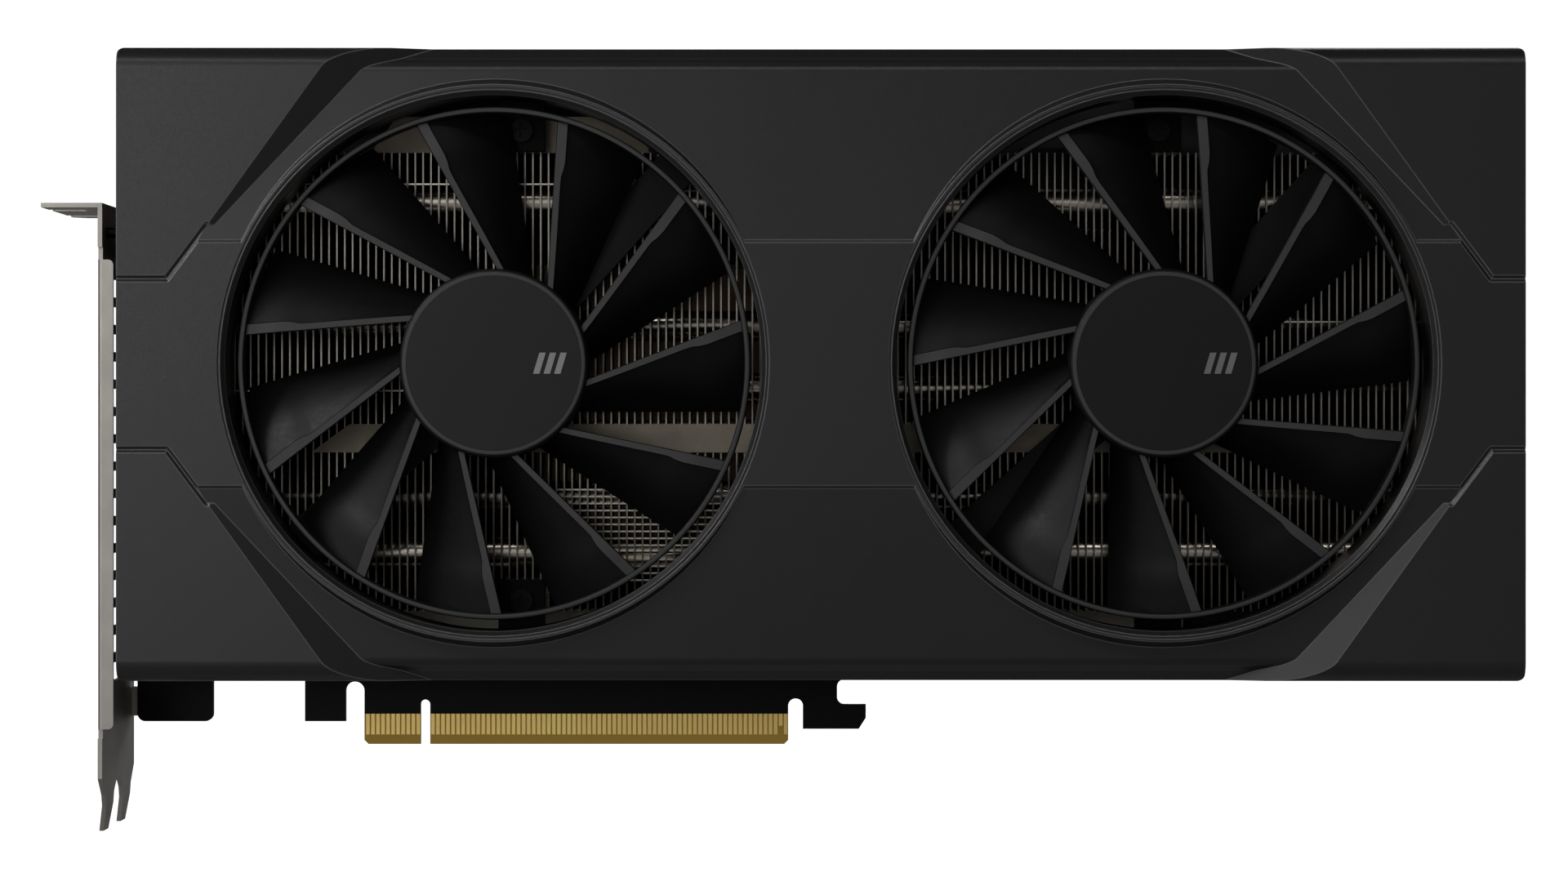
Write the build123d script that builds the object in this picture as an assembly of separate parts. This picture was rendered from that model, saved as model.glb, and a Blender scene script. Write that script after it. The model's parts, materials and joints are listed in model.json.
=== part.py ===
"""Dual-slot graphics card: shroud, two fans, heatsink, board, bracket and backplate.

Units are millimetres. +X runs along the card away from the slot bracket, -Y is the fan side, +Z is up
and the edge tongue points down. The origin is the middle of the key notch of the edge tongue, on its
bottom edge and on the component face of the board.
"""
import os
from math import acos as arccos
from math import cos, pi, radians, sin

from build123d import *

# --- Board and edge tongue ---------------------------------------------------------------------
BOARD_T = 1.57
BOARD_LEFT, BOARD_RIGHT = -57.15, 152.0
BOARD_TOP, BOARD_EDGE = 111.15, 16.0
KEY_HALF, KEY_TOP = 0.95, 8.8
TONGUE_LEFT, TONGUE_RIGHT = -12.1, 72.0
TAB_LOW, TAB_RIGHT = 4.5, -42.1
STEM_LEFT, STEM_RIGHT, U_SLOT_TOP = -23.9, -15.8, 12.36
HOOK_LEFT, HOOK_STEM, HOOK_RIGHT = 74.9, 81.7, 87.4
END_SLOT_TOP, HOOK_LOW, HOOK_TOP, RIGHT_EDGE = 9.0, 3.0, 7.9, 12.8
CONTACT_PITCH, CONTACT_W, CONTACT_T = 1.0, 0.7, 0.04
CONTACT_LOW, CONTACT_HIGH, SHORT_LOW = 1.9, 6.0, 3.6

# --- Shroud ------------------------------------------------------------------------------------
SHROUD_LEFT, SHROUD_RIGHT = -55.45, 211.75
SHROUD_LOW, SHROUD_TOP = 14.4, 135.0
SHROUD_FRONT, SHROUD_BACK = -37.0, -1.5
WALL, LONG_WALL = 2.0, 3.2
FRONT_INNER = -32.4
MID_Z = (SHROUD_LOW + SHROUD_TOP) / 2
EDGE_ROUND = 3.9
END_ROUND = 1.3
PANEL_DROP, PANEL_DEPTH, PANEL_ROUND = 0.3, 3.0, 2.2
BELT_HALF = 23.0
END_HALF = 16.2
CREASE_START = 9.6
CREASE_RUN, CREASE_RISE = 29.4, 40.4
CREASE_HALF, CREASE_DEPTH = 0.65, 0.45
LEDGE_DROP, LEDGE_RISE, BROW_DROP = 2.15, 1.6, 1.8

# --- Fans --------------------------------------------------------------------------------------
FAN_X = {"left": 16.0, "right": 143.4}
FAN_Z = 74.9
FIRST_BLADE = {"left": 9.5, "right": 16.6}
BLADES = 11
OPENING_R, LIP_R = 50.9, 51.8
GROOVE_IN, GROOVE_OUT, GROOVE_DEPTH = 51.95, 52.35, 0.5
SEAT_R, SEAT_SLOPE = 52.9, 22.0
DUCT_BACK = -24.0
HUB_R, HUB_FRONT, HUB_BACK = 18.0, -35.2, -23.0
HUB_WALL = 1.4
RING_IN, RING_OUT = 47.6, 48.8
RING_FRONT, RING_BACK = -34.3, -30.5
EDGE_OFFSET = 10.0
BLADE_FRONT, BLADE_BACK = -34.2, -24.3
SHAFT_R, BEARING_R, TUBE_R = 1.0, 3.0, 4.2
FRAME_FRONT, FRAME_BACK = -21.8, -19.2
ARM_ANGLES = (48.0, 222.0)
ARM_R = 57.5

# --- Heatsink ----------------------------------------------------------------------------------
FIN_PITCH, FIN_T = 1.52, 0.3
FIN_FRONT, FIN_BACK = -18.8, -3.4
FIN_LOW, FIN_TOP = 27.0, 116.0
STACKS = {"left": (-40.0, 75.0), "right": (84.0, 195.0)}
PIPE_R = 3.0
PIPE_FIT = 0.05
PIPE_Y = -8.4
STRAIGHT_Z = (49.3, 82.7)
BENT_Z = ((61.5, 38.5), (70.5, 106.5))
RETURN_Y = -15.0
PIPE_START, PIPE_END, BEND_X = -38.5, 196.0, 205.0
GPU_X, GPU_Z = 50.0, 66.0

# --- Slot bracket ------------------------------------------------------------------------------
PLATE_T = 0.86
PLATE_IN = -58.45
BRACKET_NEAR, BRACKET_FAR = -34.65, 4.1
TAB_TOP, TAB_OUT = 105.4, -70.1
PLATE_LOW, FOOT_ROOT, FOOT_WAIST, TIP_LOW = -4.1, -7.5, -9.6, -14.6
SLOT_STEP, FOOT_W, FOOT_LEAN = 20.32, 10.19, 0.9
FLANGE_IN, FLANGE_LOW, FLANGE_TOP = -56.35, 5.3, 94.6
LIP_LOW, LIP_TOP = 5.5, 11.3
PORT_Z = (30.0, 49.5, 69.0, 88.5)
EAR_X, EAR_Z = -53.6, (19.2, 101.4)

# --- Backplate ---------------------------------------------------------------------------------
PLATE_FRONT, PLATE_BACK = 3.1, 4.1


# --- Helpers -----------------------------------------------------------------------------------
def block(x0, x1, y0, y1, z0, z1):
    """A box between two corners."""
    return Pos((x0 + x1) / 2, (y0 + y1) / 2, (z0 + z1) / 2) * Box(x1 - x0, y1 - y0, z1 - z0)


def through_y(sketch, near, far):
    """A sketch drawn on X and Z, given thickness from y = near to y = far."""
    return extrude(Plane.XZ.offset(-far) * sketch, amount=far - near)


def through_x(sketch, low, high):
    """A sketch drawn on Y and Z, given thickness from x = low to x = high."""
    return extrude(Plane.YZ.offset(low) * sketch, amount=high - low)


def through_z(sketch, low, high):
    """A sketch drawn on X and Y, given thickness from z = low to z = high."""
    return extrude(Plane.XY.offset(low) * sketch, amount=high - low)


def disc(x, z, radius, near, far):
    """A round solid on a Y axis."""
    return through_y(Pos(x, z) * Circle(radius), near, far)


def tube(x, z, outer, inner, near, far):
    """A round hollow solid on a Y axis."""
    return through_y(Pos(x, z) * (Circle(outer) - Circle(inner)), near, far)


def outline(*points):
    """A flat face inside straight sides."""
    return make_face(Polyline(*points, close=True))


def save(name, shape):
    """Write one node."""
    export_step(shape, f"parts/{name}.step")


def screw(seat, length, head_r=2.2, shank_r=1.15, head_t=1.3):
    """A pan-head screw whose head stands on the seat plane and whose shank runs behind it."""
    head = extrude(seat * Circle(head_r), amount=head_t)
    shank = extrude(seat * Circle(shank_r), amount=-length)
    cross = Rectangle(head_r * 1.2, head_r * 0.3) + Rectangle(head_r * 0.3, head_r * 1.2)
    recess = extrude(seat.offset(head_t * 0.45) * cross, amount=head_t)
    return head + shank - recess


def facing_front(x, y, z):
    """A seat plane whose screw head looks towards the fan side."""
    return Plane(origin=(x, y, z), x_dir=(1, 0, 0), z_dir=(0, -1, 0))


def facing_back(x, y, z):
    """A seat plane whose screw head looks towards the backplate side."""
    return Plane(origin=(x, y, z), x_dir=(1, 0, 0), z_dir=(0, 1, 0))


# --- Circuit board -----------------------------------------------------------------------------
def board_outline():
    """The board's face: edge tongue, key notch, retention hook and locating tab."""
    chamfer = 0.8
    points = [
        (BOARD_LEFT, TAB_LOW), (TAB_RIGHT, TAB_LOW), (TAB_RIGHT, BOARD_EDGE), (STEM_LEFT, BOARD_EDGE),
        (STEM_LEFT, TAB_LOW), (STEM_RIGHT, TAB_LOW), (STEM_RIGHT, U_SLOT_TOP), (TONGUE_LEFT, U_SLOT_TOP),
        (TONGUE_LEFT, chamfer), (TONGUE_LEFT + chamfer, 0), (TONGUE_RIGHT - chamfer, 0),
        (TONGUE_RIGHT, chamfer), (TONGUE_RIGHT, END_SLOT_TOP), (HOOK_LEFT, END_SLOT_TOP),
        (HOOK_LEFT, HOOK_LOW), (HOOK_RIGHT - 1.4, HOOK_LOW), (HOOK_RIGHT, HOOK_LOW + 2.2),
        (HOOK_RIGHT, HOOK_TOP), (HOOK_STEM, HOOK_TOP), (HOOK_STEM, RIGHT_EDGE),
        (BOARD_RIGHT, RIGHT_EDGE), (BOARD_RIGHT, BOARD_TOP), (BOARD_LEFT, BOARD_TOP),
    ]
    board = outline(*points)
    rounds = (
        (1.6, [(BOARD_LEFT, TAB_LOW), (TAB_RIGHT, TAB_LOW)]),
        (1.8, [(STEM_RIGHT, U_SLOT_TOP), (TONGUE_LEFT, U_SLOT_TOP)]),
        (1.4, [(TONGUE_RIGHT, END_SLOT_TOP), (HOOK_LEFT, END_SLOT_TOP)]),
        (1.4, [(HOOK_STEM, HOOK_TOP), (HOOK_STEM, RIGHT_EDGE)]),
    )
    for radius, corners in rounds:
        board = fillet([corner_at(board, *corner) for corner in corners], radius)
    key = Pos(0, KEY_TOP / 2 - 1) * SlotOverall(KEY_TOP + 2, 2 * KEY_HALF, rotation=90)
    return board - key


def corner_at(face, x, y):
    """The face's corner nearest to a point."""
    return face.vertices().sort_by_distance((x, y, 0))[0]


def gpu_screw_places():
    """Centres of the four retention screws round the processor."""
    half = 32.0
    return [(GPU_X + sx * half, GPU_Z + sz * half) for sx in (-1, 1) for sz in (-1, 1)]


def backplate_screw_places():
    """Centres of the screws that tie the backplate to the board."""
    low, high = 22.0, 105.0
    return [(x, z) for x in (-48.0, 8.0, 98.0, 146.0) for z in (low, high)]


def make_board():
    board = through_y(board_outline(), 0, BOARD_T)
    for x, z in gpu_screw_places():
        board -= disc(x, z, 1.6, -1, BOARD_T + 1)
    for x, z in backplate_screw_places() + [(EAR_X, z) for z in EAR_Z]:
        board -= disc(x, z, 1.35, -1, BOARD_T + 1)
    return board


def contact_columns():
    """Left edges of the contact strips: 11 before the key notch and 71 after it."""
    first = -11.75
    before = [first + i * CONTACT_PITCH for i in range(11)]
    after = [1.0 + (i + 0.15) * CONTACT_PITCH for i in range(71)]
    return before + after


def make_contacts():
    """Gold strips on both faces of the tongue; the last but one starts higher than the others."""
    strips = []
    columns = contact_columns()
    for x in columns:
        low = SHORT_LOW if x == columns[-2] else CONTACT_LOW
        place = Pos(x + CONTACT_W / 2, (low + CONTACT_HIGH) / 2)
        for near in (-CONTACT_T, BOARD_T):
            strip = place * Rectangle(CONTACT_W, CONTACT_HIGH - low)
            strips.append(through_y(strip, near, near + CONTACT_T))
    return Compound(children=strips)


# --- Processor, memory and power stage ---------------------------------------------------------
SUBSTRATE_FRONT, DIE_FRONT = -1.6, -2.4
MEMORY_T, PAD_FRONT = 1.2, -1.9


def memory_places():
    """Centres of the eight memory chips on three sides of the processor."""
    side = [(GPU_X + dx, GPU_Z + dz) for dx in (-38.0, 38.0) for dz in (-17.0, 0.0, 17.0)]
    below = [(GPU_X + dx, GPU_Z - 38.0) for dx in (-9.0, 9.0)]
    return side + below


def make_substrate():
    return through_y(Pos(GPU_X, GPU_Z) * RectangleRounded(36, 36, 0.8), SUBSTRATE_FRONT, 0)


def make_die():
    return through_y(Pos(GPU_X, GPU_Z) * Rectangle(18, 11.5), DIE_FRONT, SUBSTRATE_FRONT)


def make_memory():
    chip = Rectangle(12, 14)
    return Compound(children=[through_y(Pos(x, z) * chip, -MEMORY_T, 0) for x, z in memory_places()])


def make_pads():
    pad = Rectangle(11, 13)
    places = memory_places()
    return Compound(children=[through_y(Pos(x, z) * pad, PAD_FRONT, -MEMORY_T) for x, z in places])


CHOKE_X, CHOKE_ROWS = 118.0, 8
CHOKE_STEP = 10.2


def power_rows():
    """Heights of the power stages in the column at the right of the processor."""
    return [26.0 + i * CHOKE_STEP for i in range(CHOKE_ROWS)]


def make_chokes():
    body = RectangleRounded(8.4, 8.4, 0.8)
    return Compound(children=[through_y(Pos(CHOKE_X, z) * body, -1.8, 0) for z in power_rows()])


def make_power_stages():
    body = Rectangle(6, 5)
    return Compound(children=[through_y(Pos(128.0, z) * body, -0.9, 0) for z in power_rows()])


def make_capacitors():
    """Low polymer capacitors between the power stages and the board's right edge."""
    cans = []
    for x in (136.0, 143.0):
        for z in power_rows()[:-1]:
            cans.append(disc(x, z + 5, 2.6, -1.7, 0))
    return Compound(children=cans)


SOCKET_X, SOCKET_W = 127.0, 18.8
SOCKET_NEAR, SOCKET_FAR = -10.6, -0.4
SOCKET_LOW, SOCKET_TOP = 103.5, 117.5
PIN_STEP = 4.2


def socket_columns():
    """Middles of the socket's four columns of cells."""
    return [SOCKET_X + (i - 1.5) * PIN_STEP for i in range(4)]


def socket_rows():
    """Depths of the two rows of cells."""
    middle = (SOCKET_NEAR + SOCKET_FAR) / 2
    return [middle - PIN_STEP / 2, middle + PIN_STEP / 2]


def make_power_socket():
    """Eight-cell power socket that opens upwards, with its latch ramp."""
    half = SOCKET_W / 2
    shell = block(SOCKET_X - half, SOCKET_X + half, SOCKET_NEAR, SOCKET_FAR, SOCKET_LOW, SOCKET_TOP)
    for x in socket_columns():
        for y in socket_rows():
            cell = Pos(x, y) * RectangleRounded(3.6, 3.6, 0.5)
            shell -= through_z(cell, SOCKET_LOW + 2, SOCKET_TOP + 1)
    ramp = (SOCKET_NEAR - 1.2, SOCKET_NEAR, SOCKET_TOP - 5, SOCKET_TOP - 2)
    latch = block(SOCKET_X - 2, SOCKET_X + 2, *ramp)
    return shell + latch


def make_power_pins():
    pins = []
    for x in socket_columns():
        for y in socket_rows():
            pins.append(through_z(Pos(x, y) * Rectangle(1.1, 1.1), SOCKET_LOW + 2, SOCKET_TOP - 3))
    return Compound(children=pins)


# --- Display sockets ---------------------------------------------------------------------------
PORT_FRONT, PORT_BACK = -5.8, -0.3
PORT_OUT, PORT_IN = -58.4, -40.0
PORT_SHELL = 0.4


def port_face(half_height, inset):
    """Section of a display socket, long side along Z and one corner cut back."""
    near, far = PORT_FRONT + inset, PORT_BACK - inset
    half = half_height - inset
    cut = 2.2
    return [(near, -half + cut), (near + cut, -half), (far, -half), (far, half), (near, half)]


def port_shell(middle, half_height):
    """A sheet-metal socket shell that opens towards the bracket."""
    outer = outline(*[(y, z + middle) for y, z in port_face(half_height, 0)])
    inner = outline(*[(y, z + middle) for y, z in port_face(half_height, PORT_SHELL)])
    return through_x(outer, PORT_OUT, PORT_IN) - through_x(inner, PORT_OUT - 1, PORT_IN - 2)


def port_tongue(middle, length):
    """The insulating tongue that stands free inside a socket."""
    depth = (PORT_FRONT + PORT_BACK) / 2
    section = Pos(depth, middle) * Rectangle(1.5, length)
    return through_x(section, PORT_OUT + 3, PORT_IN - 2)


def make_port_shells():
    return {name: port_shell(z, 7.9 if i else 7.3) for i, (name, z) in enumerate(port_names())}


def port_names():
    """Lowest socket first; the lowest is the smaller one."""
    names = ("video_socket_small", "video_socket_low", "video_socket_middle", "video_socket_high")
    return list(zip(names, PORT_Z))


def make_port_tongues():
    return Compound(children=[port_tongue(z, 10.5) for z in PORT_Z])


# --- Heatsink ----------------------------------------------------------------------------------
POST_Z = (29.3, 120.0)
POST_DX = {"left": 4.5, "right": 0.0}
PLATE_NEAR, PLATE_FAR = -3.4, -1.9
FLANGE_HALF, PEDESTAL_HALF = 28.0, 25.0


def post_places():
    """Centres of the posts that carry the shroud, above and below each fan."""
    return [(FAN_X[side] + POST_DX[side], z) for side in FAN_X for z in POST_Z]


def header_places():
    """Centres of the two fan lead headers at the foot of the board."""
    return {side: (lead_turn(side)[0], 22.5) for side in FAN_X}


def make_cold_plate():
    """Copper plate with a pedestal over the die and a half-round groove for every pipe."""
    flange = block(
        GPU_X - FLANGE_HALF, GPU_X + FLANGE_HALF, PIPE_Y, PLATE_NEAR,
        GPU_Z - FLANGE_HALF, GPU_Z + FLANGE_HALF,
    )
    pedestal = block(
        GPU_X - PEDESTAL_HALF, GPU_X + PEDESTAL_HALF, PLATE_NEAR, DIE_FRONT,
        GPU_Z - PEDESTAL_HALF, GPU_Z + PEDESTAL_HALF,
    )
    plate = flange + pedestal
    for z in STRAIGHT_Z + tuple(leg for leg, _ in BENT_Z):
        plate -= through_x(Pos(PIPE_Y, z) * Circle(PIPE_R), GPU_X - 40, GPU_X + 40)
    return plate


def make_base_plate():
    """Cast aluminium frame that cools memory and power stage and carries the posts."""
    face = Pos(56.0, 65.5) * RectangleRounded(188, 93, 2)
    for x, z in post_places():
        if z > GPU_Z:
            face += Pos(x, 117.0) * RectangleRounded(12, 14, 2)
    window = 2 * PEDESTAL_HALF + 1
    face -= Pos(GPU_X, GPU_Z) * RectangleRounded(window, window, 1)
    face -= Pos(SOCKET_X, 107.5) * Rectangle(SOCKET_W + 3, 11)
    for x, z in header_places().values():
        face -= Pos(x, z) * Rectangle(9, 8)
    plate = through_y(face, PLATE_NEAR, PLATE_FAR)
    for x, z in post_places():
        plate += disc(x, z, 2.8, -19.7, PLATE_NEAR)
        plate -= disc(x, z, 1.2, -20, -9)
    for x, z in gpu_screw_places():
        plate += disc(x, z, 3.0, PLATE_FAR, 0)
        plate -= disc(x, z, 1.2, -3.5, 1)
    return plate


def comb(low, high):
    """Upright fins that stand on a common sheet, as one extruded outline."""
    count = int((high - low) / FIN_PITCH)
    root = FIN_BACK - 0.5
    points = [(low, FIN_BACK), (low, FIN_FRONT)]
    for i in range(count):
        start = low + i * FIN_PITCH
        points += [(start + FIN_T, FIN_FRONT), (start + FIN_T, root)]
        points += [(start + FIN_PITCH, root), (start + FIN_PITCH, FIN_FRONT)]
    end = low + count * FIN_PITCH + FIN_T
    points += [(end, FIN_FRONT), (end, FIN_BACK)]
    return through_z(outline(*points), FIN_LOW, FIN_TOP)


def make_fin_stack(low, high):
    """One comb of fins with holes for the pipes and room for what stands behind it."""
    fins = comb(low, high)
    reach = FLANGE_HALF + 1.0
    fins -= block(GPU_X - reach, GPU_X + reach, PIPE_Y - 0.2, 0, GPU_Z - reach, GPU_Z + reach)
    half = SOCKET_W / 2 + 2
    fins -= block(SOCKET_X - half, SOCKET_X + half, SOCKET_NEAR - 3, 0, SOCKET_LOW - 2, FIN_TOP + 1)
    for x, z in post_places():
        if z < GPU_Z:
            fins -= block(x - 4.3, x + 4.3, FIN_FRONT - 1, 0, FIN_LOW - 1, z + 4)
    hole = Circle(PIPE_R + PIPE_FIT)
    past = high + 5
    for z in STRAIGHT_Z:
        fins -= through_x(Pos(PIPE_Y, z) * hole, low - 1, past)
    for leg, far in BENT_Z:
        fins -= through_x(Pos(PIPE_Y, leg) * hole, GPU_X - reach, past)
        fins -= through_x(Pos(RETURN_Y, far) * hole, low - 1, past)
    return fins


def make_fin_cover():
    """Folded sheet that lies on top of the left fins, its flange facing the fan."""
    left, right, top = -9.0, 45.0, 123.0
    near = FIN_FRONT + 0.6
    seat = FIN_TOP + 0.02
    sheet = block(left, right, near, FIN_BACK - 1, seat, seat + FIN_T)
    flange = outline((left, seat), (right, seat), (right - 2, top), (left + 5, top))
    cover = sheet + through_y(flange, near, near + FIN_T)
    for x, z in post_places():
        cover -= disc(x, z, 3.2, FIN_FRONT - 1, 0)
    return cover


def make_fin_brace():
    """Flat strip across the front of both fin stacks, below the hubs."""
    low, high = 57.9, 63.4
    strip = outline((-20.5, low), (176.0, low), (170.5, high), (-13.0, high))
    return through_y(strip, FIN_FRONT - 0.35, FIN_FRONT - 0.02)


def bent_pipe(leg, far):
    """A pipe that leaves the cold plate, turns back past the fins and returns through them."""
    path = FilletPolyline(
        (GPU_X - FLANGE_HALF, PIPE_Y, leg), (BEND_X, PIPE_Y, leg),
        (BEND_X, RETURN_Y, far), (PIPE_START, RETURN_Y, far), radius=9.0,
    )
    start = Plane(origin=path @ 0, z_dir=path % 0)
    return sweep(start * Circle(PIPE_R), path=path)


def make_heat_pipes():
    pipes = [through_x(Pos(PIPE_Y, z) * Circle(PIPE_R), PIPE_START, PIPE_END) for z in STRAIGHT_Z]
    pipes += [bent_pipe(leg, far) for leg, far in BENT_Z]
    return Compound(children=pipes)


def make_retention_frame():
    """Cross of spring steel behind the board that pulls the cold plate onto the die."""
    frame = Pos(GPU_X, GPU_Z) * (RectangleRounded(34, 34, 3) - RectangleRounded(22, 22, 3))
    arm = Rectangle(30, 8)
    for sx, sz in ((1, 1), (-1, 1), (-1, -1), (1, -1)):
        place = Pos(GPU_X + sx * 22, GPU_Z + sz * 22) * Rot(0, 0, 45 * sx * sz)
        frame += place * arm
    for x, z in gpu_screw_places():
        frame += Pos(x, z) * Circle(4.2)
    frame = through_y(frame, BOARD_T, BOARD_T + 1.2)
    for x, z in gpu_screw_places():
        frame -= disc(x, z, 1.4, 0, 4)
    return frame


def make_retention_screws():
    seat = BOARD_T + 1.2
    places = gpu_screw_places()
    return Compound(children=[screw(facing_back(x, seat, z), 5.4) for x, z in places])


# --- Fans --------------------------------------------------------------------------------------
SPOKE_SIDE = 2.4
LEAD_R, LEAD_Y = 0.55, -19.75
HEADER_NEAR = -4.5


def fan_place(side):
    return Pos(FAN_X[side], 0, FAN_Z)


def edge_angle(radius):
    """Degrees by which a straight leading edge, offset from the axis, has turned at a radius."""
    return (arccos(EDGE_OFFSET / radius) - arccos(EDGE_OFFSET / RING_IN)) * 180 / pi


def blade_section(radius, tip_angle):
    """Slanted strip that a cut across the blade shows at one radius."""
    wrap = 20.0
    thickness = 1.4
    chord = 2 * radius * sin(radians(wrap / 2))
    middle = radians(tip_angle + edge_angle(radius) - wrap / 2)
    centre = (radius * cos(middle), 0, radius * sin(middle))
    plane = Plane(origin=centre, x_dir=(-sin(middle), 0, cos(middle)), z_dir=(cos(middle), 0, sin(middle)))
    lead, trail = chord / 2, -chord / 2
    strip = outline(
        (lead, -BLADE_FRONT), (lead - thickness, -BLADE_FRONT),
        (trail, -BLADE_BACK), (trail + thickness, -BLADE_BACK),
    )
    return plane * strip


def make_blade(tip_angle):
    radii = (HUB_R - 0.8, 28.0, 38.0, RING_IN + 0.4)
    return loft([blade_section(radius, tip_angle) for radius in radii], ruled=True)


def make_impeller(side):
    """Hub, eleven blades and the ring that joins their tips."""
    hub = disc(0, 0, HUB_R, HUB_FRONT, HUB_BACK)
    hub = fillet(hub.faces().sort_by(Axis.Y)[0].edges(), 0.9)
    hub -= disc(0, 0, HUB_R - HUB_WALL, HUB_FRONT + HUB_WALL, HUB_BACK + 1)
    hub -= disc(0, 0, CAP_R + 0.05, HUB_FRONT - 1, HUB_FRONT + CAP_T)
    ring = tube(0, 0, RING_OUT, RING_IN, RING_FRONT, RING_BACK)
    step = 360 / BLADES
    blades = [make_blade(FIRST_BLADE[side] + i * step) for i in range(BLADES)]
    return fan_place(side) * (hub + blades + ring)


CAP_R, CAP_T = 16.6, 0.4


def make_hub_cap(side):
    return fan_place(side) * disc(0, 0, CAP_R, HUB_FRONT, HUB_FRONT + CAP_T)


def make_hub_mark(side):
    """Three short slanted bars, flush inlays of a plain pattern."""
    bars = []
    for i in range(3):
        x = 8.6 + i * 2.0
        bar = outline((x - 1.1, -2.0), (x + 0.1, -2.0), (x + 1.3, 2.0), (x + 0.1, 2.0))
        bars.append(fan_place(side) * through_y(bar, HUB_FRONT - 0.08, HUB_FRONT))
    return Compound(children=bars)


YOKE_R, YOKE_T = 16.55, 0.8
MAGNET_IN = 14.1


def make_yoke(side):
    front = HUB_FRONT + HUB_WALL
    cup = disc(0, 0, YOKE_R, front, -24.0)
    cup -= disc(0, 0, YOKE_R - YOKE_T, front + YOKE_T, -23.0)
    return fan_place(side) * cup


def make_magnet(side):
    return fan_place(side) * tube(0, 0, YOKE_R - YOKE_T - 0.02, MAGNET_IN, -32.6, -25.0)


def make_shaft(side):
    return fan_place(side) * disc(0, 0, SHAFT_R, HUB_FRONT + HUB_WALL + YOKE_T, -20.4)


def make_bearing(side):
    return fan_place(side) * tube(0, 0, BEARING_R, SHAFT_R + 0.03, -32.0, FRAME_FRONT)


def stator_tooth():
    return Pos(8.6, 0) * Rectangle(8.0, 2.2)


def make_stator(side):
    """Laminated core with six teeth."""
    core = Circle(6.2) - Circle(TUBE_R + 0.02)
    rim = Circle(13.5) - Circle(12.0)
    for i in range(6):
        core += Rot(0, 0, i * 60) * stator_tooth()
        rim -= Rot(0, 0, 30 + i * 60) * Pos(12.5, 0) * Rectangle(4, 2.0)
    return fan_place(side) * through_y(core + rim, -31.0, -26.6)


def make_windings(side):
    """One coil round every tooth."""
    coils = []
    for i in range(6):
        centre = Pos(9.0, 0, 0)
        coil = centre * Box(4.2, 5.0, 6.0) - centre * Box(5.0, 2.24, 4.44)
        turned = Pos(0, -28.8, 0) * Rot(0, -60 * i, 0) * Rot(90, 0, 0) * coil
        coils.append(fan_place(side) * turned)
    return Compound(children=coils)


def make_motor_board(side):
    return fan_place(side) * tube(0, 0, 13.0, TUBE_R + 0.05, -23.6, -22.8)


def spoke_point(angle, radius, sideways=0.0):
    """A point along an arm of the fan frame, moved sideways off its middle line."""
    a = radians(angle)
    return (radius * cos(a) - sideways * sin(a), radius * sin(a) + sideways * cos(a))


def lead_turn(side):
    """Where the lead leaves its arm and turns down to the header."""
    x, z = spoke_point(ARM_ANGLES[1], 50.0, SPOKE_SIDE)
    return (FAN_X[side] + x, FAN_Z + z)


def lead_path(side):
    """Route of the lead: through the frame, along an arm, down past the fins, back to the board."""
    x, z = spoke_point(ARM_ANGLES[1], 9.0, SPOKE_SIDE)
    start = (FAN_X[side] + x, FAN_Z + z)
    turn = lead_turn(side)
    foot = header_places()[side]
    return FilletPolyline(
        (start[0], -22.8, start[1]), (start[0], LEAD_Y, start[1]), (turn[0], LEAD_Y, turn[1]),
        (foot[0], LEAD_Y, foot[1]), (foot[0], HEADER_NEAR, foot[1]), radius=[1.3, 14.0, 6.0],
    )


def along_lead(side, radius):
    path = lead_path(side)
    return sweep(Plane(origin=path @ 0, z_dir=path % 0) * Circle(radius), path=path)


def make_fan_frame(side):
    """Motor plate, bearing tube and two arms that end in screw pads."""
    face = Circle(16.0)
    for angle in ARM_ANGLES:
        face += Rot(0, 0, angle) * Pos(ARM_R / 2, 0) * Rectangle(ARM_R, 8)
        face += Pos(*spoke_point(angle, ARM_R)) * Circle(4.6)
    frame = through_y(face, FRAME_FRONT, FRAME_BACK)
    frame += disc(0, 0, TUBE_R, -32.2, FRAME_FRONT)
    frame -= disc(0, 0, BEARING_R + 0.02, -33, FRAME_FRONT)
    frame -= disc(0, 0, SHAFT_R + 0.4, -33, FRAME_BACK - 0.7)
    for angle in ARM_ANGLES:
        x, z = spoke_point(angle, ARM_R)
        frame -= disc(x, z, 2.5, FRAME_BACK - 1.0, FRAME_BACK + 1)
        frame -= disc(x, z, 1.25, FRAME_FRONT - 1, FRAME_BACK)
    return fan_place(side) * frame - along_lead(side, LEAD_R + 0.2)


def frame_screw_places():
    """Centres of the screws that hold the fan frames to the shroud."""
    places = []
    for side in FAN_X:
        for angle in ARM_ANGLES:
            x, z = spoke_point(angle, ARM_R)
            places.append((FAN_X[side] + x, FAN_Z + z))
    return places


def make_frame_screws():
    seat = FRAME_BACK - 1.0
    seats = [facing_back(x, seat, z) for x, z in frame_screw_places()]
    return Compound(children=[screw(plane, 5.0, head_r=2.1, head_t=1.1) for plane in seats])


def make_header(side):
    """Small four-way socket that takes the lead of one fan."""
    x, z = header_places()[side]
    return block(x - 3.0, x + 3.0, HEADER_NEAR, 0, z - 2.2, z + 2.2)


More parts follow.
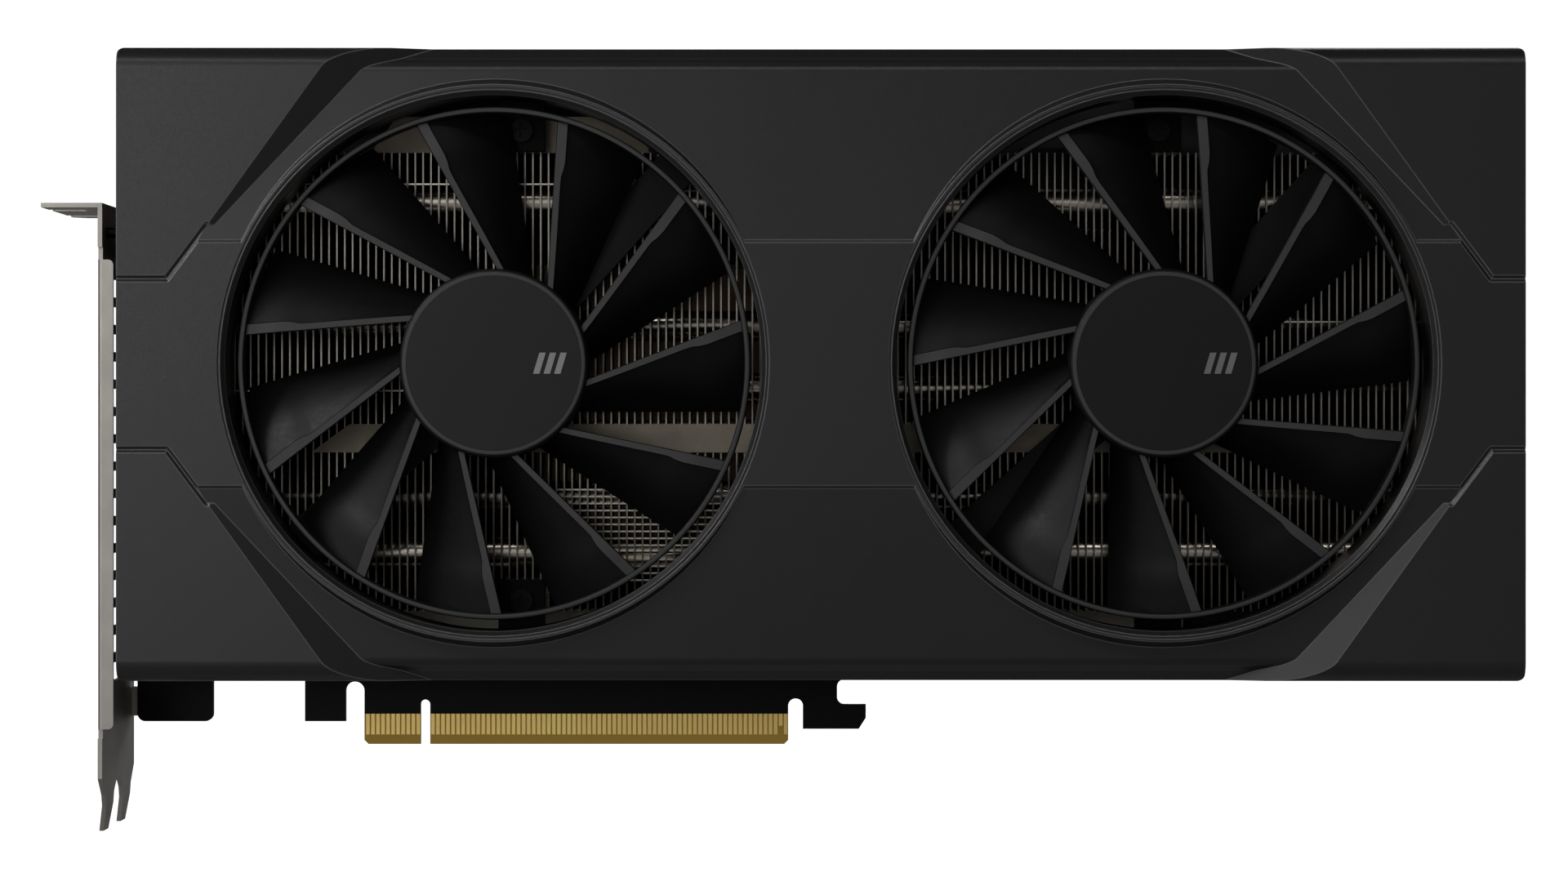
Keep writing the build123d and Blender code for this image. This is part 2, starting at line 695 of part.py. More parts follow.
# --- Shroud ------------------------------------------------------------------------------------
CENTRE_X = (FAN_X["left"] + FAN_X["right"]) / 2
CREASE_LEFT = SHROUD_LEFT + CREASE_START
CREASE_Z = MID_Z + END_HALF
FACET_X, FACET_Z = -38.2, MID_Z + 26.4
FACET_END_X, PANEL_TOP = -10.1, MID_Z + 56.7
PANEL_SLOPE = (PANEL_DEPTH - PANEL_DROP) / (PANEL_TOP - MID_Z - BELT_HALF)
HIGH = SHROUD_TOP + 1
AHEAD = SHROUD_FRONT - 3
LEDGE_FLOOR = -28.0
REACH = 300.0


def four_ways(solid):
    """A cutter for one corner, repeated in the other three by mirroring."""
    across = Plane(origin=(CENTRE_X, 0, 0), z_dir=(1, 0, 0))
    down = Plane(origin=(0, 0, MID_Z), z_dir=(0, 0, 1))
    pair = [solid, mirror(solid, about=across)]
    return pair + [mirror(piece, about=down) for piece in pair]


def panel_level(z):
    """Depth of the tilted panel above the belt."""
    return SHROUD_FRONT + PANEL_DROP + (z - MID_Z - BELT_HALF) * PANEL_SLOPE


def crease_groove(start, end):
    """V groove in the front face between two points of it, with a round end at both."""
    start, end = Vector(start[0], SHROUD_FRONT, start[1]), Vector(end[0], SHROUD_FRONT, end[1])
    along = end - start
    above = 0.2
    half = CREASE_HALF * (1 + above / CREASE_DEPTH)
    section = Plane(origin=start, x_dir=(0, 1, 0), z_dir=along)
    vee = extrude(section * outline((-above, -half), (-above, half), (CREASE_DEPTH, 0)), along.length)
    pit = Cone(half, 0, above + CREASE_DEPTH, align=(Align.CENTER, Align.CENTER, Align.MIN))
    for point in (start, end):
        vee += Plane(origin=point - Vector(0, above, 0), z_dir=(0, 1, 0)) * pit
    return vee


def crease_cut():
    """Groove that parts one corner panel from the belt, up to the start of the facet."""
    turn = (CREASE_LEFT, CREASE_Z)
    level = crease_groove((SHROUD_LEFT - 1, CREASE_Z), turn)
    return level + crease_groove(turn, (FACET_X, FACET_Z))


def panel_space():
    """Everything in front of the tilted panel, its rounded top and the two ledges above it."""
    belt = MID_Z + BELT_HALF
    level = panel_level(PANEL_TOP)
    ledge_level, ledge_top = level + LEDGE_DROP, PANEL_TOP + LEDGE_RISE
    section = outline(
        (AHEAD, belt), (SHROUD_FRONT, belt), (panel_level(belt), belt + 2 * PANEL_DROP),
        (level, PANEL_TOP), (ledge_level, ledge_top), (ledge_level + BROW_DROP, SHROUD_TOP),
        (ledge_level + BROW_DROP, HIGH), (AHEAD, HIGH),
    )
    section = fillet(corner_at(section, level, PANEL_TOP), PANEL_ROUND)
    return through_x(section, FACET_X - 3, CENTRE_X + 1)


def facet_space():
    """Everything in front of the triangular facet between corner panel and tilted panel."""
    level = SHROUD_FRONT
    start = Vector(FACET_X, level, FACET_Z)
    high = Vector(CREASE_LEFT + CREASE_RUN, level, CREASE_Z + CREASE_RISE)
    low = Vector(FACET_END_X, panel_level(PANEL_TOP), PANEL_TOP - 2)
    normal = (high - start).cross(low - start)
    plane = Plane(origin=start, z_dir=normal * (-1 if normal.Y > 0 else 1))
    ahead = extrude(plane * Rectangle(2 * REACH, 2 * REACH), amount=REACH)
    return ahead & block(FACET_X, CENTRE_X + 1, AHEAD, LEDGE_FLOOR, FACET_Z, HIGH)


def panel_cut():
    """Relief over one quarter of the middle: what lies in front of both facet and panel."""
    belt = MID_Z + BELT_HALF
    foot_x = FACET_X - 2.5
    below = outline(
        (foot_x, belt), (FACET_X, FACET_Z), (CENTRE_X + 1, FACET_Z), (CENTRE_X + 1, belt),
    )
    reach = facet_space() + through_y(below, AHEAD, FRONT_INNER)
    return panel_space() & reach


def seat_zones():
    """Cones round both openings that stay at belt level, with a sloped outer side."""
    depth = FRONT_INNER - SHROUD_FRONT
    front = [Plane(origin=(x, SHROUD_FRONT, FAN_Z), z_dir=(0, 1, 0)) for x in FAN_X.values()]
    return [extrude(plane * Circle(SEAT_R), amount=depth, taper=-SEAT_SLOPE) for plane in front]


def trough(low, high, front, back, corners):
    """Section along the card, its two front corners treated by the given function."""
    section = outline((front, low), (front, high), (back, high), (back, low))
    return corners([corner_at(section, front, z) for z in (low, high)])


def shroud_block():
    """Block with long front edges rounded and small rounds at the four corners of its outline."""
    width, height = SHROUD_RIGHT - SHROUD_LEFT, SHROUD_TOP - SHROUD_LOW
    section = trough(SHROUD_LOW, SHROUD_TOP, SHROUD_FRONT, SHROUD_BACK, lambda c: fillet(c, EDGE_ROUND))
    face = Pos((SHROUD_LEFT + SHROUD_RIGHT) / 2, MID_Z) * RectangleRounded(width, height, END_ROUND)
    return through_x(section, SHROUD_LEFT, SHROUD_RIGHT) & through_y(face, AHEAD, SHROUD_BACK)


def shroud_cavity():
    """Room inside; its front corners are cut back so that the ledges keep a full wall."""
    low, high = SHROUD_LOW + LONG_WALL, SHROUD_TOP - LONG_WALL
    section = trough(low, high, FRONT_INNER, SHROUD_BACK + 1, lambda c: chamfer(c, 2.0))
    return through_x(section, SHROUD_LEFT + WALL, SHROUD_RIGHT - WALL)


def wall_vents():
    """Slots in both long walls, the notch for the power plug and the cut for the sockets."""
    cuts = []
    for i in range(9):
        x = -34.0 + i * 26.0
        slot = through_z(Pos(x, -12.5) * SlotOverall(22, 7), SHROUD_LOW - 5, SHROUD_TOP + 5)
        if abs(x - SOCKET_X) > 20:
            cuts.append(slot)
    half = SOCKET_W / 2 + 3
    cuts.append(block(SOCKET_X - half, SOCKET_X + half, -16, 0, MID_Z, SHROUD_TOP + 5))
    cuts.append(block(SHROUD_LEFT - 5, SHROUD_LEFT + 5, -15, 0, SHROUD_LOW + WALL, SHROUD_TOP - WALL))
    for z in (40.0, MID_Z, 109.4):
        slot = Pos(-15, z) * SlotOverall(26, 7, rotation=90)
        cuts.append(through_x(slot, SHROUD_RIGHT - 5, SHROUD_RIGHT + 5))
    return cuts


def screw_tabs():
    """Tabs that reach in behind each duct and sit on the heatsink's posts."""
    tabs = []
    for x, z in post_places():
        outward = 1 if z > FAN_Z else -1
        far = FAN_Z + outward * 54.5
        near, wall = z - outward * 4.0, FAN_Z + outward * 51.5
        tabs.append(block(x - 4.5, x + 4.5, -22.0, -19.8, min(near, far), max(near, far)))
        tabs.append(block(x - 4.5, x + 4.5, -26.0, -19.8, min(wall, far), max(wall, far)))
    return tabs


def frame_bosses():
    return [disc(x, z, 3.0, FRONT_INNER, FRAME_FRONT) for x, z in frame_screw_places()]


def opening_cut(x):
    """Opening with its sloped lip and the groove outside it."""
    slope = LIP_R - OPENING_R
    lip = Plane(origin=(x, SHROUD_FRONT, FAN_Z), z_dir=(0, 1, 0))
    cone = extrude(lip * Circle(LIP_R), amount=slope, taper=44.9)
    groove = tube(x, FAN_Z, GROOVE_OUT, GROOVE_IN, SHROUD_FRONT - 1, SHROUD_FRONT + GROOVE_DEPTH)
    return [disc(x, FAN_Z, OPENING_R, SHROUD_FRONT - 5, DUCT_BACK + 1), cone, groove]


def make_shroud():
    relief = []
    for cutter in (crease_cut(), panel_cut()):
        relief += four_ways(cutter)
    zones = seat_zones()
    shroud = shroud_block()
    for cutter in relief:
        for zone in zones:
            cutter = cutter - zone
        shroud -= cutter
    shroud -= shroud_cavity()
    for x in FAN_X.values():
        shroud += tube(x, FAN_Z, SEAT_R + 0.3, OPENING_R, FRONT_INNER - 0.5, DUCT_BACK)
    shroud += screw_tabs() + frame_bosses()
    for x in FAN_X.values():
        for cutter in opening_cut(x):
            shroud -= cutter
    for cutter in wall_vents():
        shroud -= cutter
    for x, z in post_places():
        shroud -= disc(x, z, 1.25, -30, -19)
    for x, z in frame_screw_places():
        shroud -= disc(x, z, 1.15, -27, FRAME_FRONT)
    return shroud - bracket_screw_hole()


def make_shroud_screws():
    return Compound(children=[screw(facing_front(x, -22.0, z), 8.0) for x, z in post_places()])


# --- Slot bracket ------------------------------------------------------------------------------
SIDE_SCREW_Y, SIDE_SCREW_Z = -29.5, 100.0
VENTS, VENT_Y, VENT_STEP = 15, -20.0, 5.3


def bracket_screw_hole():
    return through_x(Pos(SIDE_SCREW_Y, SIDE_SCREW_Z) * Circle(1.1), SHROUD_LEFT - 3, SHROUD_LEFT + 3)


def foot(near):
    """Corners of one tapering foot of the bracket, from its near edge to its far edge."""
    far = near + FOOT_W
    side, tip = 0.9, 2.3
    return [
        (near, FOOT_ROOT), (near + side, FOOT_WAIST), (near + tip, TIP_LOW),
        (far - tip, TIP_LOW), (far - side, FOOT_WAIST), (far, FOOT_ROOT),
    ]


def bracket_plate():
    """Plate that narrows to two feet, with openings for the sockets and the warm air."""
    rear = -FOOT_W
    front = rear - SLOT_STEP
    between = (rear + front + FOOT_W) / 2
    plate = outline(
        (BRACKET_NEAR, TAB_TOP), (BRACKET_NEAR, PLATE_LOW), *foot(front), (between, PLATE_LOW),
        *foot(rear), (BRACKET_FAR, PLATE_LOW), (BRACKET_FAR, TAB_TOP),
    )
    depth = (PORT_FRONT + PORT_BACK) / 2
    for z in PORT_Z:
        plate -= Pos(depth, z) * RectangleRounded(PORT_BACK - PORT_FRONT + 0.6, 16.6, 0.8)
    for i in range(VENTS):
        plate -= Pos(VENT_Y, 15.5 + i * VENT_STEP) * SlotOverall(19.0, 3.5)
    return plate


def bracket_sheet():
    """Room of the sheet metal: upright, and leaning outwards below the waist of the feet."""
    outer, below = PLATE_IN - PLATE_T, TIP_LOW - 1
    side = outline(
        (PLATE_IN, TAB_TOP), (PLATE_IN, FOOT_WAIST), (PLATE_IN - FOOT_LEAN, below),
        (outer - FOOT_LEAN, below), (outer, FOOT_WAIST), (outer, TAB_TOP),
    )
    return through_y(side, BRACKET_NEAR - 1, BRACKET_FAR + 1)


def bracket_flange():
    """Stiffening flange folded inwards along the near edge, with a round outer bend."""
    outer, far = PLATE_IN - PLATE_T, BRACKET_NEAR + PLATE_T
    flange = block(outer, FLANGE_IN, BRACKET_NEAR, far, FLANGE_LOW, FLANGE_TOP)
    bend = flange.edges().filter_by(Axis.Z).sort_by_distance((outer, BRACKET_NEAR, MID_Z))[0]
    flange = fillet(bend, 0.75)
    ends = flange.edges().filter_by(Axis.Y).group_by(Axis.X)[-1]
    return fillet(ends, 1.0) + block(outer, PLATE_IN, far - 0.1, far + 0.5, FLANGE_LOW, FLANGE_TOP)


def flange_relief():
    """Room in the plate for the flange's bend, with a small notch past either end."""
    outer = PLATE_IN - PLATE_T
    near, far = BRACKET_NEAR - 1, BRACKET_NEAR + PLATE_T
    return block(outer - 1, PLATE_IN + 1, near, far, FLANGE_LOW - 1.8, FLANGE_TOP + 2.4)


def bracket_tab():
    """Tab folded away from the card, with an open screw notch for each slot."""
    tab = outline(
        (PLATE_IN, BRACKET_NEAR), (TAB_OUT, BRACKET_NEAR), (TAB_OUT, BRACKET_FAR - 2.5),
        (TAB_OUT + 2.5, BRACKET_FAR), (PLATE_IN, BRACKET_FAR),
    )
    for y in notch_places():
        tab -= Pos(TAB_OUT + 3.0, y) * SlotOverall(9.0, 4.4)
    return through_z(tab, TAB_TOP - PLATE_T, TAB_TOP)


def notch_places():
    """Middles of the two screw notches, one slot step apart."""
    return [BRACKET_FAR - 7.6, BRACKET_FAR - 7.6 - SLOT_STEP]


def make_bracket():
    plate = through_x(bracket_plate(), PLATE_IN - PLATE_T - 2, PLATE_IN + 1) & bracket_sheet()
    bracket = plate - flange_relief() + bracket_flange()
    bracket += bracket_tab()
    ear_end = EAR_X + 3.4
    for z in EAR_Z:
        ear = Pos((PLATE_IN + ear_end) / 2, z) * RectangleRounded(ear_end - PLATE_IN + 1.2, 6.4, 0.6)
        bracket += through_y(ear, -PLATE_T, 0)
        bracket -= disc(EAR_X, z, 1.3, -2, 1)
    behind = BOARD_T + 0.03
    lip = block(PLATE_IN - 0.1, PLATE_IN + 2.6, behind, behind + PLATE_T, LIP_LOW, LIP_TOP)
    return bracket + lip - side_screw(0.02)


def make_bracket_screws():
    """Two screws into the board's ears."""
    return Compound(children=[screw(facing_front(EAR_X, -PLATE_T, z), 2.2, head_r=2.0) for z in EAR_Z])


def side_screw(gap=0.0):
    """Countersunk screw, flush with the bracket's outer face, that ends in the shroud's wall."""
    outer = PLATE_IN - PLATE_T
    head_r, shank_r = 1.9 + gap, 1.05 + gap
    head = Cone(head_r, shank_r, PLATE_T - 0.1, align=(Align.CENTER, Align.CENTER, Align.MIN))
    shank = Cylinder(shank_r, 5.0, align=(Align.CENTER, Align.CENTER, Align.MIN))
    place = Plane(origin=(outer, SIDE_SCREW_Y, SIDE_SCREW_Z), x_dir=(0, 1, 0), z_dir=(1, 0, 0))
    return place * (head + shank)


def make_side_screw():
    """The countersunk screw with its cross recess."""
    cross = Rectangle(2.2, 0.5) + Rectangle(0.5, 2.2)
    face = Plane(origin=(PLATE_IN - PLATE_T, SIDE_SCREW_Y, SIDE_SCREW_Z), x_dir=(0, 1, 0), z_dir=(1, 0, 0))
    return side_screw() - extrude(face * cross, amount=0.5)


# --- Backplate ---------------------------------------------------------------------------------
def make_backplate():
    """Pressed aluminium plate with spacers, a window over the retention cross and end vents."""
    left = -54.0
    width, height = SHROUD_RIGHT - left, SHROUD_TOP - SHROUD_LOW
    face = Pos((SHROUD_RIGHT + left) / 2, MID_Z) * RectangleRounded(width, height, END_ROUND)
    face -= Pos(GPU_X, GPU_Z) * RectangleRounded(76, 76, 6)
    for z in [30.0 + row * 11 for row in range(8)]:
        for x in (171.0, 195.0):
            face -= Pos(x, z) * SlotOverall(20, 5.5)
    plate = through_y(face, PLATE_FRONT, PLATE_BACK)
    plate += block(left + 2, SHROUD_RIGHT - 3, SHROUD_BACK, PLATE_FRONT, SHROUD_TOP - 1.0, SHROUD_TOP)
    for x, z in backplate_screw_places():
        plate += disc(x, z, 3.0, BOARD_T, PLATE_FRONT)
        plate -= disc(x, z, 1.25, 0, PLATE_BACK + 1)
    return plate


def make_backplate_screws():
    places = backplate_screw_places()
    return Compound(children=[screw(facing_back(x, PLATE_BACK, z), 3.9, head_t=0.9) for x, z in places])


# --- All nodes ---------------------------------------------------------------------------------
def card_nodes():
    """Everything that is fixed to the board."""
    nodes = {
        "shroud": make_shroud(), "shroud_screws": make_shroud_screws(),
        "fan_frame_screws": make_frame_screws(),
        "circuit_board": make_board(), "edge_contacts": make_contacts(),
        "processor_package": make_substrate(), "processor_die": make_die(),
        "memory_chips": make_memory(), "thermal_pads": make_pads(),
        "power_chokes": make_chokes(), "power_stages": make_power_stages(),
        "capacitors": make_capacitors(),
        "power_socket": make_power_socket(), "power_pins": make_power_pins(),
        "socket_tongues": make_port_tongues(),
        "slot_bracket": make_bracket(), "bracket_screws": make_bracket_screws(),
        "bracket_side_screw": make_side_screw(),
        "cold_plate": make_cold_plate(), "base_plate": make_base_plate(),
        "heat_pipes": make_heat_pipes(),
        "fin_cover": make_fin_cover(), "fin_brace": make_fin_brace(),
        "retention_frame": make_retention_frame(), "retention_screws": make_retention_screws(),
        "backplate": make_backplate(), "backplate_screws": make_backplate_screws(),
    }
    nodes.update(make_port_shells())
    for side, (low, high) in STACKS.items():
        nodes[f"{side}_fin_stack"] = make_fin_stack(low, high)
    return nodes


FAN_PARTS = {
    "impeller": make_impeller, "hub_cap": make_hub_cap, "hub_mark": make_hub_mark,
    "rotor_yoke": make_yoke, "rotor_magnet": make_magnet, "shaft": make_shaft,
    "bearing": make_bearing, "stator": make_stator, "windings": make_windings,
    "motor_board": make_motor_board, "fan_frame": make_fan_frame, "fan_header": make_header,
}


def main():
    os.makedirs("parts", exist_ok=True)
    for name, shape in card_nodes().items():
        save(name, shape)
    for side in FAN_X:
        for part, make in FAN_PARTS.items():
            save(f"{side}_{part}", make(side))
        save(f"{side}_fan_lead", along_lead(side, LEAD_R))
        print(side, "lead, volume over section times length:", lead_ratio(side))


def lead_ratio(side):
    """Compares the lead's volume with its section times its length."""
    return along_lead(side, LEAD_R).volume / (pi * LEAD_R**2 * lead_path(side).length)


main()
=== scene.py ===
"""Looks of the graphics card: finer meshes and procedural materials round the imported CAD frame."""

import json
import math

import bmesh
import bpy
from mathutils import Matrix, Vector


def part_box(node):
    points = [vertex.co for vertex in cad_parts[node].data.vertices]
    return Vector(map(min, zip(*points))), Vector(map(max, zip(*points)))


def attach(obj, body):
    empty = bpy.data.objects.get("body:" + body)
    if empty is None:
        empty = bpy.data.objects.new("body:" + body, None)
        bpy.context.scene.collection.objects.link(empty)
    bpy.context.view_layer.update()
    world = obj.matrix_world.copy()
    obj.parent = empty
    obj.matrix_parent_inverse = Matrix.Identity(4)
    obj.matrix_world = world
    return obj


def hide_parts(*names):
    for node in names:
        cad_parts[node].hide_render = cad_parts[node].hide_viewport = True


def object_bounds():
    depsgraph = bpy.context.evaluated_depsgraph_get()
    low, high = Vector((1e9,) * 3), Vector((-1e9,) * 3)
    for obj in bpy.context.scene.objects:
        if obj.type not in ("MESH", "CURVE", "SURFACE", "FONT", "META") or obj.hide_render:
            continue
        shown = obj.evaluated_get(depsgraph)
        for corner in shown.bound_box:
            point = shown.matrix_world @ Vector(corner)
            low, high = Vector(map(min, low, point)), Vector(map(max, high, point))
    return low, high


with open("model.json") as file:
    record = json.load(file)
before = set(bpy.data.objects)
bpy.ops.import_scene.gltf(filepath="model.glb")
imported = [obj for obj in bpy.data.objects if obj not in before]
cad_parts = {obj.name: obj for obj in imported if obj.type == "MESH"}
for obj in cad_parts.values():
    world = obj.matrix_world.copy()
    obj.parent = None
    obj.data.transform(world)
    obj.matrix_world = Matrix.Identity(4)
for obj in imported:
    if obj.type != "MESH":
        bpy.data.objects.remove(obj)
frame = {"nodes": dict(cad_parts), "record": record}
cad_box = [list(corner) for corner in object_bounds()]
nodes = frame["nodes"]

MM = 0.001
MICRON = 0.000001
SIDES = ("left", "right")


# --- Mesh helpers ------------------------------------------------------------------------------
def add_object(name, data):
    """Puts new object data into the scene."""
    made = bpy.data.objects.new(name, data)
    bpy.context.scene.collection.objects.link(made)
    return made


def new_piece(name, verts, faces, smooth=True):
    """A mesh object from points in metres."""
    mesh = bpy.data.meshes.new(name)
    mesh.from_pydata([tuple(v) for v in verts], [], faces)
    mesh.validate()
    mesh.update()
    mesh.polygons.foreach_set("use_smooth", [smooth] * len(mesh.polygons))
    return add_object(name, mesh)


def soften(piece, angle):
    """Keeps edges sharper than the angle, in degrees, crisp and shades the rest smoothly."""
    mesh = bmesh.new()
    mesh.from_mesh(piece.data)
    bmesh.ops.remove_doubles(mesh, verts=mesh.verts, dist=MICRON)
    bmesh.ops.recalc_face_normals(mesh, faces=mesh.faces)
    limit = math.radians(angle)
    for edge in mesh.edges:
        edge.smooth = len(edge.link_faces) == 2 and edge.calc_face_angle(0.0) < limit
    for face in mesh.faces:
        face.smooth = True
    mesh.to_mesh(piece.data)
    mesh.free()
    return piece


def lathe(name, profile, centre, steps=160):
    """Turns a closed profile of (radius, y) pairs round a Y axis through the centre."""
    verts, faces = [], []
    count = len(profile)
    for i in range(steps):
        turn = 2 * math.pi * i / steps
        for radius, y in profile:
            verts.append((centre.x + radius * math.cos(turn), y, centre.z + radius * math.sin(turn)))
    for i in range(steps):
        this, after = i * count, (i + 1) % steps * count
        for k in range(count):
            n = (k + 1) % count
            faces.append((this + k, this + n, after + n, after + k))
    return new_piece(name, verts, faces)


def bars(name, boxes):
    """One mesh of many box-shaped bars, each given by its two corners."""
    corners = [(0, 0, 0), (1, 0, 0), (1, 1, 0), (0, 1, 0), (0, 0, 1), (1, 0, 1), (1, 1, 1), (0, 1, 1)]
    sides = [(0, 3, 2, 1), (4, 5, 6, 7), (0, 1, 5, 4), (1, 2, 6, 5), (2, 3, 7, 6), (3, 0, 4, 7)]
    verts, faces = [], []
    for low, high in boxes:
        base = len(verts)
        for corner in corners:
            verts.append(tuple(low[k] + (high[k] - low[k]) * corner[k] for k in range(3)))
        faces += [tuple(base + k for k in side) for side in sides]
    return new_piece(name, verts, faces, smooth=False)


def join(name, pieces):
    """Several pieces as one mesh."""
    mesh = bmesh.new()
    for piece in pieces:
        mesh.from_mesh(piece.data)
        bpy.data.objects.remove(piece)
    data = bpy.data.meshes.new(name)
    mesh.to_mesh(data)
    mesh.free()
    return add_object(name, data)


def dress(piece, material, body, slot, *replaced):
    """Gives a finished piece its material and body and hides the CAD nodes that it stands for. The slot
    argument is not used.
    """
    piece.data.materials.clear()
    piece.data.materials.append(material)
    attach(piece, body)
    if replaced:
        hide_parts(*replaced)
    return piece


# --- Material helpers --------------------------------------------------------------------------
# The cosine between rounded and flat normal is below the first value on an edge and above the second
# one off it.
EDGE_COSINES = (0.985, 0.9994)


class Surface:
    """A Principled material with helpers that wire noise into its colour, roughness and bump."""

    def __init__(self, name, metallic=0.0, specular=0.5):
        self.material = bpy.data.materials.new(name)
        self.material.use_nodes = True
        self.tree = self.material.node_tree
        self.shader = self.tree.nodes["Principled BSDF"]
        self.shader.inputs["Metallic"].default_value = metallic
        self.shader.inputs["Specular IOR Level"].default_value = specular
        self.place = self.tree.nodes.new("ShaderNodeTexCoord").outputs["Object"]
        self.base = None
        self.first_bump = None

    def node(self, kind, **values):
        """A new shader node with some of its inputs set."""
        made = self.tree.nodes.new(kind)
        for key, value in values.items():
            made.inputs[key].default_value = value
        return made

    def link(self, source, target):
        """Wires an output to an input."""
        self.tree.links.new(source, target)

    def noise(self, scale, detail=4.0, rough=0.5, stretch=None):
        """A noise value, its scale in features per metre."""
        source = self.place
        if stretch:
            mapping = self.node("ShaderNodeMapping", Scale=stretch)
            self.link(source, mapping.inputs["Vector"])
            source = mapping.outputs["Vector"]
        made = self.node("ShaderNodeTexNoise", Scale=scale, Detail=detail, Roughness=rough)
        self.link(source, made.inputs["Vector"])
        return made.outputs["Fac"]

    def ramp(self, value, stops):
        """A colour ramp with stops of (position, grey or colour)."""
        made = self.tree.nodes.new("ShaderNodeValToRGB")
        elements = made.color_ramp.elements
        while len(elements) < len(stops):
            elements.new(0.5)
        for element, (position, colour) in zip(elements, stops):
            element.position = position
            element.color = (colour,) * 3 + (1,) if isinstance(colour, float) else (*colour, 1)
        self.link(value, made.inputs["Fac"])
        return made.outputs["Color"]

    def colour(self, value, stops):
        """Base colour from a value, by a ramp."""
        self.base = self.ramp(value, stops)
        self.link(self.base, self.shader.inputs["Base Color"])

    def roughness(self, value, low, high):
        """Roughness between two limits, from a noise value."""
        self.link(self.ramp(value, [(0.25, low), (0.75, high)]), self.shader.inputs["Roughness"])

    def bump(self, *layers):
        """Bump layers of (value, depth in metres), stacked."""
        normal = None
        for value, depth in layers:
            made = self.node("ShaderNodeBump", Strength=1.0, Distance=depth)
            self.link(value, made.inputs["Height"])
            if normal:
                self.link(normal, made.inputs["Normal"])
            else:
                self.first_bump = made
            normal = made.outputs["Normal"]
        self.link(normal, self.shader.inputs["Normal"])

    def math(self, operation, first, second):
        """One arithmetic step; either side may be a number or another node's value."""
        made = self.tree.nodes.new("ShaderNodeMath")
        made.operation = operation
        for socket, value in zip(made.inputs, (first, second)):
            if isinstance(value, (int, float)):
                socket.default_value = value
            else:
                self.link(value, socket)
        return made.outputs["Value"]

    def all_of(self, *masks):
        """1 where every mask is 1."""
        product = masks[0]
        for mask in masks[1:]:
            product = self.math("MULTIPLY", product, mask)
        return product

    def axis(self, letter, output="Object"):
        """One coordinate of the place, or of the surface's direction, in the part's own frame."""
        source = self.tree.nodes.new("ShaderNodeTexCoord").outputs[output]
        parts = self.tree.nodes.new("ShaderNodeSeparateXYZ")
        self.link(source, parts.inputs["Vector"])
        return parts.outputs[letter]

    def between(self, value, low, high):
        """1 where a value lies between two limits, otherwise 0."""
        return self.all_of(self.math("GREATER_THAN", value, low), self.math("LESS_THAN", value, high))

    def rise(self, value, low, high):
        """0 below the low limit, 1 above the high one and an even rise between them."""
        made = self.node("ShaderNodeMapRange")
        made.inputs["From Min"].default_value = low
        made.inputs["From Max"].default_value = high
        self.link(value, made.inputs["Value"])
        return made.outputs["Result"]

    def repaint(self, mask, colour):
        """Another base colour where the mask is 1."""
        made = self.tree.nodes.new("ShaderNodeMixRGB")
        self.link(mask, made.inputs["Fac"])
        self.link(self.base, made.inputs["Color1"])
        made.inputs["Color2"].default_value = (*colour, 1)
        self.base = made.outputs["Color"]
        self.link(self.base, self.shader.inputs["Base Color"])

    def dull(self, mask, low):
        """Lowers the reflection to a given level where the mask is 1."""
        socket = self.shader.inputs["Specular IOR Level"]
        drop = self.math("MULTIPLY", mask, socket.default_value - low)
        self.link(self.math("SUBTRACT", socket.default_value, drop), socket)

    def rounded_edges(self, radius, samples=6):
        """Shades the edges as if rounded; gives a mask that is 1 along them."""
        rounded = self.node("ShaderNodeBevel", Radius=radius)
        rounded.samples = samples
        self.link(rounded.outputs["Normal"], self.first_bump.inputs["Normal"])
        flat = self.tree.nodes.new("ShaderNodeNewGeometry")
        cosine = self.tree.nodes.new("ShaderNodeVectorMath")
        cosine.operation = "DOT_PRODUCT"
        self.link(rounded.outputs["Normal"], cosine.inputs[0])
        self.link(flat.outputs["Normal"], cosine.inputs[1])
        on_edge, off_edge = EDGE_COSINES
        return self.ramp(cosine.outputs["Value"], [(on_edge, 1.0), (off_edge, 0.0)])


def grey(level):
    """A neutral colour."""
    return (level,) * 3


def varied(colour, share):
    """Ramp stops a little darker and a little lighter than the given colour."""
    return [(0.3, tuple(c * (1 - share) for c in colour)), (0.7, tuple(c * (1 + share) for c in colour))]


# --- Kinds of surface --------------------------------------------------------------------------
def moulded(name, colour, rough=(0.42, 0.56), grain=2600.0, depth=12 * MICRON, specular=0.5):
    """Injection-moulded plastic: fine spark texture, faint clouding of colour and gloss."""
    s = Surface(name, specular=specular)
    s.colour(s.noise(35.0, 3.0), varied(colour, 0.06))
    s.roughness(s.noise(grain * 0.6, 2.0), *rough)
    s.bump((s.noise(grain, 3.0, 0.6), depth), (s.noise(90.0, 2.0), depth * 1.5))
    return s


def plated(name, colour, rough=(0.28, 0.42), grain=900.0, stretch=(1, 1, 12)):
    """Rolled or plated metal with fine lines along one direction and a clouded gloss."""
    s = Surface(name, metallic=1.0)
    s.colour(s.noise(60.0, 4.0), varied(colour, 0.08))
    s.roughness(s.noise(140.0, 5.0, 0.6), *rough)
    s.bump((s.noise(grain, 2.0, 0.5, stretch), 6 * MICRON))
    return s


def matt_part(name, colour, rough=(0.5, 0.7)):
    """Pressed, sintered or cast part with a fine pitted surface."""
    s = Surface(name, specular=0.4)
    s.colour(s.noise(300.0, 4.0), varied(colour, 0.15))
    s.roughness(s.noise(400.0, 3.0), *rough)
    s.bump((s.noise(1800.0, 4.0, 0.65), 10 * MICRON))
    return s


